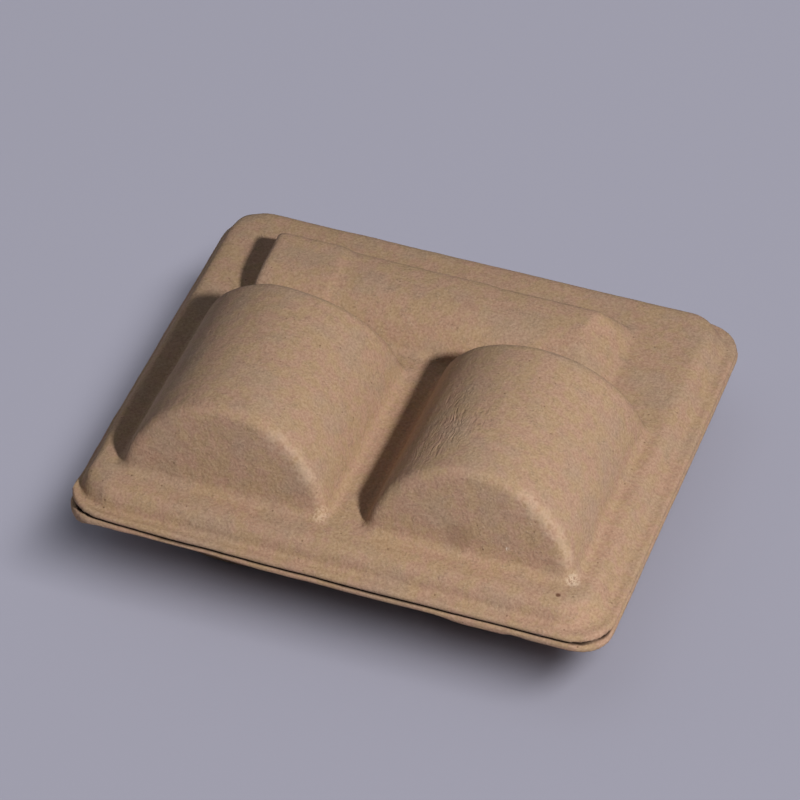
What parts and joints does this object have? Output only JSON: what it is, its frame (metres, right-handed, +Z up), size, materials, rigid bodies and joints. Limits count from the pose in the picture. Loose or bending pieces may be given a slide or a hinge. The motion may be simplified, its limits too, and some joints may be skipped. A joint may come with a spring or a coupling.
{
  "type": "two-shell moulded pulp carrier",
  "caption": "Closed case of an upper and a lower moulded pulp shell, flat rims meeting at a seam, with raised half-round bays for cups on their sides and a long bay behind.",
  "frame": {"origin": "under the middle of the rim, on the surface that the carrier rests on", "axes": "+X along the front edge to the right, +Y towards the back, +Z up"},
  "size_m": [0.2194, 0.1866, 0.0785],
  "materials": {
    "pulp": "matte, fibrous, undyed moulded pulp"
  },
  "bodies": {
    "root": {"upper_shell": "pulp", "lower_shell": "pulp"}
  },
  "joints": []
}
